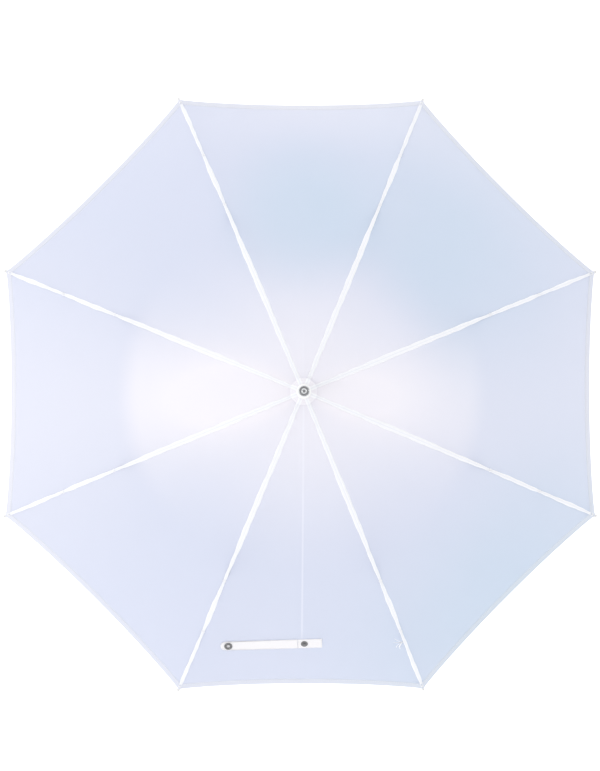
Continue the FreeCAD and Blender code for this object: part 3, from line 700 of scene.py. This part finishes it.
def make_seam_stitches(rib):
    """The two rows of stitches along a seam."""
    bm = bmesh.new()
    rows = int((seam_end - cloth_start) / STITCH_PITCH)
    for number in range(1, rows):
        middle_along = cloth_start + number * STITCH_PITCH
        aside = seam_width(middle_along) * SEAM_ROW_SHARE
        for side in (-aside, aside):
            ends = [seam_point(rib, side, middle_along + end * STITCH_LENGTH / 2,
                               SEAM_RISE + STITCH_RISE) for end in (-1, 1)]
            add_stitch(bm, *ends, Vector((0, 0, 1)))
    return finished(bm, f"seam_stitches_{rib}", THREAD)


seams = {rib: make_seam(rib) for rib in gores}
seam_rows = {rib: make_seam_stitches(rib) for rib in gores}
print(len(seams), "seams, each", round((seam_end - cloth_start) / MM), "mm long")

# %% [markdown]
# ## Ties round the ribs
# The cloth is held to each rib by a few turns of thread, just past the rib's joint, half way from
# there to the tip, and at the tip. Each turn is a ring spun from a small circle and stretched to an
# oval that goes round both the seam and the rib. Beside one rib a few thread ends were left long.
# They could be curves with a bevel, but grids rolled into tubes are put in place as the seams are.

# %% Ties
TIE_TURNS = 4
TIE_THREAD = 0.3 * MM           # radius of the thread
TIE_SPACING = 1.7 * TIE_THREAD
TIE_LEAST_HALF_WIDTH = 2.0 * MM
TIE_SLACK = 0.2 * MM
RIB_HALF_HEIGHT = 1.2 * MM


def add_ring_of_thread(bm):
    """A ring of thread with a radius of 1, lying flat. It gives back the ring's points."""
    before = set(bm.verts)
    upright = Matrix.Translation((1, 0, 0)) @ Matrix.Rotation(math.pi / 2, 4, "X")
    circle = bmesh.ops.create_circle(bm, segments=6, radius=TIE_THREAD, matrix=upright)
    edges = list(dict.fromkeys(edge for vert in circle["verts"] for edge in vert.link_edges))
    bmesh.ops.spin(bm, geom=circle["verts"] + edges, cent=(0, 0, 0), axis=(0, 0, 1),
                   steps=20, angle=2 * math.pi, use_merge=True)
    return [vert for vert in bm.verts if vert not in before]


def make_ties(rib):
    """A few turns of thread at each of a rib's ties."""
    bm = bmesh.new()
    for tie in TIE_PLACES:
        near_tip = smooth(corner_along - TIP_ZONE, corner_along, tie)
        top = CLOTH_LIFT + TIP_LIFT * near_tip + SEAM_RISE + TIE_THREAD
        bottom = -RIB_HALF_HEIGHT - TIE_THREAD - TIP_LIFT * near_tip
        half_width = max(seam_width(tie) / 2, TIE_LEAST_HALF_WIDTH) + TIE_SLACK
        for turn in range(TIE_TURNS):
            along = tie + (turn - (TIE_TURNS - 1) / 2) * TIE_SPACING
            onto_rib = (Matrix.Rotation(rib_azimuth(rib), 3, "Z")
                        @ Matrix.Rotation(rib_slope(along), 3, "Y"))
            centre = rib_point(rib, along, (top + bottom) / 2)
            for vert in add_ring_of_thread(bm):
                radial = Vector((vert.co.x, vert.co.y))
                unit = radial.normalized()
                extra = radial.length - 1
                local = Vector((vert.co.z, unit.x * (half_width + extra),
                                unit.y * ((top - bottom) / 2 + extra)))
                vert.co = centre + onto_rib @ local
    bmesh.ops.remove_doubles(bm, verts=bm.verts, dist=0.001 * MM)
    bmesh.ops.recalc_face_normals(bm, faces=bm.faces)
    return finished(bm, f"rib_ties_{rib}", THREAD)


# Each loose thread's reach aside, its reach outwards and its curl, in millimetres.
LOOSE_THREADS = ((-5, 7, 4), (-7, 3, -3), (-4, 9, 7), (-9, -2, 5), (-8, 5, 9), (-6, -4, -4))
LOOSE_RADIUS = 0.45 * MM
LOOSE_OUT = 343 * MM            # how far from the shaft's axis they are


def make_loose_threads(rib, along):
    """Thread ends left long beside a tie: narrow grids, each rolled into a tube and closed."""
    bm = bmesh.new()
    for aside, outwards, curl in LOOSE_THREADS:
        before = set(bm.verts)
        bmesh.ops.create_grid(bm, x_segments=10, y_segments=6, size=1)
        for vert in set(bm.verts) - before:
            share, angle = (vert.co.x + 1) / 2, math.pi * vert.co.y
            sideways = (-2.8 + share * (aside - 2.4) - math.sin(math.pi * share) * abs(curl) / 3) * MM
            run = (math.sin(1.2 * share) * outwards + share * curl / 2) * MM
            rise = (1.6 + 0.8 * math.sin(3 * share)) * MM
            vert.co = seam_point(rib, sideways + LOOSE_RADIUS * math.cos(angle), along + run,
                                 rise + LOOSE_RADIUS * math.sin(angle))
    bmesh.ops.remove_doubles(bm, verts=bm.verts, dist=0.01 * MM)
    ends = [edge for edge in bm.edges if edge.is_boundary]
    bmesh.ops.holes_fill(bm, edges=ends, sides=0)
    bmesh.ops.recalc_face_normals(bm, faces=bm.faces)
    return finished(bm, f"loose_threads_{rib}", THREAD)


ties = {rib: make_ties(rib) for rib in gores}
loose = make_loose_threads(FRONT_GORE + 1, along_at(LOOSE_OUT))
print("ties on each rib:", len(TIE_PLACES), "with", len(ties[1].data.polygons), "faces")

# %% [markdown]
# ## Webbing strap
# The strap is ribbed white webbing. Its sewn patch and free tail are two pieces in the frame, so
# that the tail can lift. Webbing could be simulated, but it is stiff and the cloth is held flat
# under it, so each piece is a flat grid on the front gore's slope, and a Solidify modifier gives it
# thickness.

# %% Webbing
STRAP_WIDTH = 14 * MM
STRAP_THICKNESS = 0.8 * MM
SELVEDGE_DROP = 0.12 * MM       # how much thinner the webbing's edges are
WEBBING_RIBS_PER_METRE = 1100


def webbing_finish():
    finish = Finish("strap_webbing")
    where = finish.cloth_place()
    ribs = finish.threads(where, WEBBING_RIBS_PER_METRE, "X")
    fibres = finish.noise(where, 900, detail=2, stretch=(1, 4, 1))
    normal = finish.bump(ribs + fibres * 0.4, 0.25 * MM, 0.8)
    shade = finish.mix(fibres, colour(0.955, 0.945, 0.985), colour(1.0, 0.985, 1.0))
    return finish.done(finish.shade(colour=shade, roughness=0.6 + fibres * 0.15, normal=normal,
                                    sheen=0.25))


WEBBING = webbing_finish()
print("strap finish:", WEBBING.name)

# %% Where the strap lies
PATCH_LENGTH, TAIL_LENGTH, STRAP_GAP = 31 * MM, 98.7 * MM, 0.3 * MM
patch_centre = middle("strap_patch")
up_strap = next(Vector(joint["axis"]) for joint in frame["joints"] if joint["child"] == "strap")
strap_slope = math.atan2(up_strap.z, up_strap.y)
off_strap = Vector((0, -math.sin(strap_slope), math.cos(strap_slope)))
along_strap = up_strap.cross(off_strap).normalized()
tail_start = -PATCH_LENGTH / 2 - STRAP_GAP
print(f"the strap lies on a slope of {math.degrees(strap_slope):.1f} degrees,",
      f"turned {math.degrees(math.asin(-up_strap.x)):.1f} degrees from the hem")

# %% Patch and tail
STRAP_CELL = 1.2 * MM
STRAP_CELLS_WIDE = 12


def on_strap(x, y, lift):
    """A point of the strap: x along it from the patch's middle, y up the slope, and the lift off
    its underside."""
    return patch_centre + along_strap * x + up_strap * y + off_strap * (lift - STRAP_THICKNESS / 2)


def make_strap(name, first, last, rounded):
    """A flat band; a rounded one ends in a half circle at its first end."""
    radius = STRAP_WIDTH / 2

    def place(out, side):
        y = side * radius
        start = first + radius - math.sqrt(max(0.0, radius ** 2 - y * y)) if rounded else first
        edge = SELVEDGE_DROP * smooth(0.8, 1.0, abs(side))
        return on_strap(start + out * (last - start), y, STRAP_THICKNESS - edge)

    def flat(out, side):
        return first + out * (last - first), side * radius

    cells = int((last - first) / STRAP_CELL)
    piece = sewn_grid(name, WEBBING, cells, STRAP_CELLS_WIDE, place, flat)
    solid = piece.modifiers.new("thickness", "SOLIDIFY")
    solid.thickness = STRAP_THICKNESS - SELVEDGE_DROP
    solid.offset = -1
    return piece


patch = make_strap("strap_patch_webbing", -PATCH_LENGTH / 2, PATCH_LENGTH / 2, False)
tail = make_strap("strap_tail_webbing", tail_start - TAIL_LENGTH, tail_start, True)
print(f"patch {PATCH_LENGTH / MM:.0f} mm and tail {TAIL_LENGTH / MM:.1f} mm long")


# %% Strap stitching
BOX_INSET = 1.6 * MM
BOX_STITCH_PITCH = 2.4 * MM
BOX_STITCH_ENDS = (0.15, 0.85)  # where a stitch starts and ends, as shares of its pitch
BOX_STITCH_RISE = 0.05 * MM


def make_strap_stitches():
    """A sewn box just inside the patch's edges."""
    bm = bmesh.new()
    left, right = BOX_INSET - PATCH_LENGTH / 2, PATCH_LENGTH / 2 - BOX_INSET
    low, high = -STRAP_WIDTH / 2 + BOX_INSET, STRAP_WIDTH / 2 - BOX_INSET
    corners = [(left, low), (right, low), (right, high), (left, high)]
    for (x0, y0), (x1, y1) in zip(corners, corners[1:] + corners[:1]):
        run = math.hypot(x1 - x0, y1 - y0)
        count = int(run / BOX_STITCH_PITCH)
        for number in range(count):
            ends = []
            for end in BOX_STITCH_ENDS:
                share = (number + end) / count
                ends.append(on_strap(x0 + (x1 - x0) * share, y0 + (y1 - y0) * share,
                                     STRAP_THICKNESS + BOX_STITCH_RISE))
            add_stitch(bm, *ends, off_strap)
    return finished(bm, "strap_stitches", THREAD)


strap_row = make_strap_stitches()
print("strap pieces:", patch.name, tail.name, strap_row.name)

# %% [markdown]
# ## Ferrule
# The ferrule is turned from brass and chromed. Its outline is drawn once, its corners are rounded by
# bevelling the outline's points, and then it is spun round the shaft's axis. Cylinders joined by
# booleans would give the same shape, but a spun outline keeps its rounded edges clean.

# %% Turning an outline
def turned(name, material, corners, rounding, steps=64):
    """Spin an outline of (radius, height) corners round the Z axis."""
    bm = bmesh.new()
    verts = [bm.verts.new((radius, 0, height)) for radius, height in corners]
    for first, second in zip(verts, verts[1:]):
        bm.edges.new((first, second))
    bmesh.ops.bevel(bm, geom=verts[1:-1], offset=rounding, segments=4, profile=0.5,
                    affect="VERTICES", material=-1)
    bmesh.ops.spin(bm, geom=bm.verts[:] + bm.edges[:], cent=(0, 0, 0), axis=(0, 0, 1),
                   steps=steps, angle=2 * math.pi, use_merge=True)
    bmesh.ops.remove_doubles(bm, verts=bm.verts, dist=0.005 * MM)
    bmesh.ops.recalc_face_normals(bm, faces=bm.faces)
    return finished(bm, name, material)


# %% Chrome, white plastic and the cap's cloth
def chrome_finish():
    finish = Finish("ferrule_chrome")
    where = finish.place()
    haze = finish.noise(where, 220, detail=4)
    turning = finish.noise(where, 900, detail=1, stretch=(0.1, 0.1, 6))
    shade = finish.mix(haze, colour(0.60, 0.61, 0.62), colour(0.74, 0.75, 0.76))
    return finish.done(finish.shade(colour=shade, metal=1.0, roughness=haze * 0.12 + 0.06,
                                    normal=finish.bump(turning, 0.03 * MM, 0.5)))


def plastic_finish(name, dark, light):
    finish = Finish(name)
    where = finish.place()
    grain = finish.noise(where, 1200, detail=2)
    cloud = finish.noise(where, 40, detail=2)
    shade = finish.mix(cloud, colour(dark, dark, dark), colour(light, light, light * 0.995))
    return finish.done(finish.shade(colour=shade, roughness=grain * 0.15 + 0.35, coat=0.1,
                                    normal=finish.bump(grain, 0.04 * MM)))


def cap_finish():
    """Cloth bonded over the cap, the colour of the canopy beside it."""
    finish = Finish("cap_cloth")
    where = finish.place()
    grain = finish.noise(where, 700, detail=2)
    shade = finish.mix(grain, colour(0.84, 0.82, 0.88), colour(0.90, 0.88, 0.93))
    return finish.done(finish.shade(colour=shade, roughness=0.65 + grain * 0.1,
                                    normal=finish.bump(grain, 0.04 * MM)))


CHROME = chrome_finish()
PLASTIC = plastic_finish("white_plastic", 0.92, 0.97)
CAP_CLOTH = cap_finish()
print("finishes on top:", CHROME.name, PLASTIC.name, CAP_CLOTH.name)

# %% Ferrule
FERRULE_ROUNDING = 0.22 * MM
ferrule_low, ferrule_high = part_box("ferrule")
flange, waist, head = farthest("ferrule"), 5.4 * MM, 7.2 * MM
base, top = ferrule_low.z, ferrule_high.z
ferrule = turned("ferrule_turned", CHROME, [
    (4.0 * MM, base + 0.2 * MM),
    (flange, base),
    (flange, base + 2.0 * MM),
    (waist, base + 2.1 * MM),
    (waist, top - 8.8 * MM),
    (head, top - 8.0 * MM),
    (head, top - 3.0 * MM),
    (head - 0.9 * MM, top - 1.7 * MM),
    (head - 1.6 * MM, top - 1.8 * MM),
    (head - 1.9 * MM, top - 3.4 * MM),
    (head - 3.4 * MM, top - 3.4 * MM),
    (head - 3.7 * MM, top - 1.7 * MM),
    (head - 4.7 * MM, top - 0.6 * MM),
    (0.0, top),
], FERRULE_ROUNDING)
print("ferrule", len(ferrule.data.polygons), "faces")

# %% [markdown]
# ## Cap
# The cap closes the crown and holds down the inner ends of the gores. It is covered in the canopy's
# cloth, and the ends of the seams run up over it. It is spun from its outline too, and each seam's
# end is a sewn grid laid on its cone.

# %% Cap and the ends of the seams
CAP_FOOT = 1.9 * MM             # height of the cap's upright rim
CAP_BORE = 5.0 * MM
CAP_ROUNDING = 0.3 * MM
SEAT_GAP = 0.1 * MM             # between the cap and the ferrule that sits on it
cap_low, cap_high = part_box("crown_cap")
cap_radius = cap_high.x


def cap_height(radius):
    """The cap's top is a shallow cone that carries on the slope of the cloth."""
    return base - (radius - flange) / (cap_radius - flange) * (base - cap_low.z - CAP_FOOT)


cap = turned("crown_cap_turned", CAP_CLOTH, [
    (CAP_BORE, cap_low.z),
    (CAP_BORE, base - SEAT_GAP),
    (flange, base - SEAT_GAP),
    (cap_radius, cap_height(cap_radius)),
    (cap_radius, cap_low.z + 0.4 * MM),
    (cap_radius - 1.0 * MM, cap_low.z),
    (CAP_BORE, cap_low.z),
], CAP_ROUNDING)

RAY_HALF_WIDTH = 2.6 * MM
RAY_RISE = 0.35 * MM
RAY_UV_LENGTH = 10 * MM
ray_start, ray_end = flange + 0.8 * MM, cap_radius + 0.3 * MM


def make_cap_ray(rib):
    """The end of a seam, sewn over the cap's rim."""
    def place(out, side):
        radius = ray_start + out * (ray_end - ray_start)
        roll = math.sqrt(max(0.0, 1 - abs(side) ** 6))
        aside = side * RAY_HALF_WIDTH
        height = cap_height(radius) + RAY_RISE * roll
        point = Vector((math.sqrt(radius ** 2 - aside ** 2), aside, height))
        return Matrix.Rotation(rib_azimuth(rib), 3, "Z") @ point

    def flat(out, side):
        return out * RAY_UV_LENGTH, side * RAY_HALF_WIDTH

    return sewn_grid(f"cap_ray_{rib}", SEAM_CLOTH, 14, 12, place, flat)


rays = {rib: make_cap_ray(rib) for rib in gores}
print("cap", len(cap.data.polygons), "faces, crossed by", len(rays), "ends of seams")

# %% [markdown]
# ## Collar
# A narrow white plastic ring sits on the ferrule's foot and hides the step up to its waist. It is
# a closed outline, spun like the ferrule, and stands clear of the metal by a hair so that their
# faces don't flicker.

# %% Collar
COLLAR_GAP = 0.05 * MM
COLLAR_ROUNDING = 0.2 * MM
collar = turned("ferrule_collar", PLASTIC, [
    (waist + COLLAR_GAP, base + 2.2 * MM),
    (flange + 0.5 * MM, base + 2.2 * MM),
    (flange + 0.5 * MM, base + 3.0 * MM),
    (waist + 0.9 * MM, base + 5.4 * MM),
    (waist + COLLAR_GAP, base + 5.4 * MM),
    (waist + COLLAR_GAP, base + 2.2 * MM),
], COLLAR_ROUNDING)
print("collar", len(collar.data.polygons), "faces")

# %% [markdown]
# ## Finishes for the metal and plastic parts
# The frame's own parts keep their shape and only get a finish: white stove enamel on the ribs and
# stretchers, brushed steel on the shaft, moulded plastic on the crown and runner, a greyer nylon on
# the tips, and bright or dark plated metal on the pins, rivets, wires and snaps. Every pattern is a
# noise on the piece's own coordinates, so it neither slides nor needs a UV map.

# %% Metal and plastic
def enamel_finish():
    finish = Finish("rib_enamel")
    where = finish.place()
    peel = finish.noise(where, 420, detail=2)
    worn = finish.ramp(finish.noise(where, 60, detail=6), (0.66, 0.0), (0.72, 1.0))
    shade = finish.mix(worn * 0.35, colour(0.90, 0.91, 0.92), colour(0.72, 0.72, 0.71))
    return finish.done(finish.shade(colour=shade, roughness=peel * 0.15 + 0.22, coat=0.4,
                                    coat_roughness=0.1, normal=finish.bump(peel, 0.06 * MM)))


def brushed_finish():
    finish = Finish("shaft_steel")
    where = finish.place()
    lines = finish.noise(where, 900, detail=2, stretch=(1, 1, 0.02))
    smudge = finish.noise(where, 24, detail=3)
    shade = finish.mix(lines, colour(0.36, 0.37, 0.38), colour(0.52, 0.53, 0.54))
    return finish.done(finish.shade(colour=shade, metal=1.0,
                                    roughness=lines * 0.12 + smudge * 0.14 + 0.18,
                                    normal=finish.bump(lines, 0.02 * MM)))


def plated_finish(name, dark, light, roughness):
    finish = Finish(name)
    where = finish.place()
    haze = finish.noise(where, 500, detail=3)
    scuffs = finish.noise(where, 140, detail=6)
    shade = finish.mix(haze, colour(dark, dark, dark * 1.03), colour(light, light, light * 1.02))
    return finish.done(finish.shade(colour=shade, metal=1.0, roughness=haze * 0.15 + roughness,
                                    normal=finish.bump(scuffs, 0.04 * MM)))


ENAMEL, BRUSHED = enamel_finish(), brushed_finish()
TIP = plastic_finish("tip_nylon", 0.62, 0.74)
MOULDED = plastic_finish("moulded_plastic", 0.70, 0.80)
BRIGHT = plated_finish("bright_plating", 0.55, 0.72, 0.16)
DARK = plated_finish("dark_plating", 0.14, 0.28, 0.26)
FINISHES = {
    "shaft_tube": BRUSHED, "shaft_end_cap": PLASTIC, "crown_wire": BRIGHT, "runner_wire": BRIGHT,
    "crown_pin": BRIGHT, "stop_pin": BRIGHT, "catch_pin": BRIGHT, "catch_spring": BRIGHT,
    "crown_cap": PLASTIC, "crown": MOULDED, "runner": MOULDED, "rib_tip": TIP, "rib": ENAMEL,
    "stretcher": ENAMEL, "joint_rivet": BRIGHT, "snap_stud": DARK, "snap_socket": DARK,
    "ferrule": CHROME, "gore": CLOTH, "strap_patch": WEBBING, "strap_tail": WEBBING,
}
for name, node in frame["nodes"].items():
    kind = name.rstrip("0123456789").rstrip("_")
    node.data.materials.clear()
    node.data.materials.append(FINISHES[kind])
print(len(FINISHES), "kinds of CAD piece have a finish")

# %% [markdown]
# ## What rides on what
# Every piece is told which moving body carries it. The gores, their hems and the hems' stitches
# bend between two ribs, and the rest is rigid. A gore's flat size is worked out and printed.

# %% Riding and replacing
def flat_gore():
    """Length, widest width and area of a gore laid flat, added up strip by strip."""
    steps = 200
    places = [cloth_start + step / steps * (corner_along - cloth_start) for step in range(steps + 1)]
    length = area = 0.0
    for first, second in zip(places, places[1:]):
        (radius, height), (next_radius, next_height) = rib_profile(first), rib_profile(second)
        strip = math.hypot((next_radius - radius) * math.cos(HALF_PITCH), next_height - height)
        length += strip
        area += strip * width_at((first + second) / 2)
    width = width_at(corner_along)
    return length, width, area - width * HEM_HOLLOW * HEM_POWER / (HEM_POWER + 1)


gore_length, gore_width, gore_area = flat_gore()
print(f"a gore is cut {gore_length / MM:.0f} mm long and {gore_width / MM:.0f} mm wide,",
      f"{gore_area * 1e4:.0f} square cm")
for gore, piece in gores.items():
    follow_cloth(piece, gore)
    follow_cloth(hems[gore], gore)
    follow_cloth(hem_rows[gore], gore)
    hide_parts(f"gore_{gore}")
    f"rib_{gore % RIBS + 1}"

for rib in gores:
    for piece in (seams[rib], seam_rows[rib], ties[rib]):
        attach(piece, f"rib_{rib}")
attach(loose, f"rib_{FRONT_GORE + 1}")

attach(patch, "strap_root")
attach(strap_row, "strap_root")
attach(tail, "strap")
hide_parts("strap_patch")
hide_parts("strap_tail")
for piece in (ferrule, collar, cap, *rays.values()):
    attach(piece, "root")
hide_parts("ferrule")
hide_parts("crown_cap")

# %% [markdown]
# ## Floor, light and camera
# A pale floor, one soft light high on the left and a bright surround. The camera looks down the
# shaft from above, with a long lens so that the canopy isn't stretched towards its rim.

# %% Floor
FLOOR_HALF = 6.0


def floor_finish():
    finish = Finish("studio_floor")
    return finish.done(finish.add("ShaderNodeBsdfPrincipled", inputs={
        "Base Color": colour(0.92, 0.92, 0.92), "Roughness": 0.9,
        "Emission Color": colour(1, 1, 1), "Emission Strength": 0.5}))


bm = bmesh.new()
bmesh.ops.create_grid(bm, x_segments=1, y_segments=1, size=FLOOR_HALF)
bmesh.ops.translate(bm, verts=bm.verts, vec=(0, 0, cad_low.z))
floor = finished(bm, "studio_floor", floor_finish())
print("floor", 2 * FLOOR_HALF, "m wide, at the lowest point of the frame")


# %% Light
def add_area_light(name, place, aim, side, watts):
    light = bpy.data.lights.new(name, "AREA")
    light.shape = "SQUARE"
    light.size = side
    light.energy = watts
    lamp = bpy.data.objects.new(name, light)
    lamp.location = place
    lamp.rotation_euler = (Vector(aim) - Vector(place)).to_track_quat("-Z", "Y").to_euler()
    bpy.context.scene.collection.objects.link(lamp)


KEY_PLACE, KEY_AIM = (-1.7, -0.35, 2.2), (0, 0, 0.5)
KEY_SIDE, KEY_WATTS = 0.5, 7
add_area_light("key_light", KEY_PLACE, KEY_AIM, KEY_SIDE, KEY_WATTS)

# %% Surround
DIM_FROM, DIMMEST = 0.80, 0.985     # how steeply up the surround starts and stops dimming
OVERHEAD = (0.24, 0.24, 0.25)
WORLD_STRENGTH = 1.15


def studio_world():
    """A bright surround that is dimmer straight overhead, so that chrome has something to show."""
    world = bpy.data.worlds.new("studio")
    world.use_nodes = True
    nodes, links = world.node_tree.nodes, world.node_tree.links
    sky = nodes.new("ShaderNodeTexCoord")
    height = nodes.new("ShaderNodeSeparateXYZ")
    ramp = nodes.new("ShaderNodeValToRGB")
    links.new(sky.outputs["Generated"], height.inputs[0])
    links.new(height.outputs["Z"], ramp.inputs[0])
    links.new(ramp.outputs[0], nodes["Background"].inputs["Color"])
    ramp.color_ramp.elements[0].position = DIM_FROM
    ramp.color_ramp.elements[0].color = colour(1, 1, 1)
    ramp.color_ramp.elements[1].position = DIMMEST
    ramp.color_ramp.elements[1].color = colour(*OVERHEAD)
    nodes["Background"].inputs["Strength"].default_value = WORLD_STRENGTH
    return world


bpy.context.scene.world = studio_world()
bpy.context.scene.view_settings.view_transform = "Standard"
print("lit by one", KEY_WATTS, "W lamp and the surround")

# %% Camera
CAMERA_HEIGHT = 2.78            # above the height of the ribs' ends
CAMERA_SIDEWAYS = (-0.053, -0.045)
TARGET_SIDEWAYS = (-0.0013, 0.0107)
SENSOR, LENS = 36, 99.4         # in millimetres
rim_height = rib_profile(end_along)[1]
camera_data = bpy.data.cameras.new("camera")
camera_data.sensor_fit = "VERTICAL"
camera_data.sensor_height = SENSOR
camera_data.sensor_width = SENSOR
camera_data.lens = LENS
camera = bpy.data.objects.new("camera", camera_data)
camera.location = (*CAMERA_SIDEWAYS, rim_height + CAMERA_HEIGHT)
target = Vector((*TARGET_SIDEWAYS, rim_height))
backward = (camera.location - target).normalized()
right = Vector((0, 1, 0)).cross(backward).normalized()
upward = backward.cross(right)
camera.rotation_euler = Matrix((right, upward, backward)).transposed().to_euler()
bpy.context.scene.collection.objects.link(camera)
bpy.context.scene.camera = camera
print("camera", round(camera.location.z, 2), "m up, with a", LENS, "mm lens")
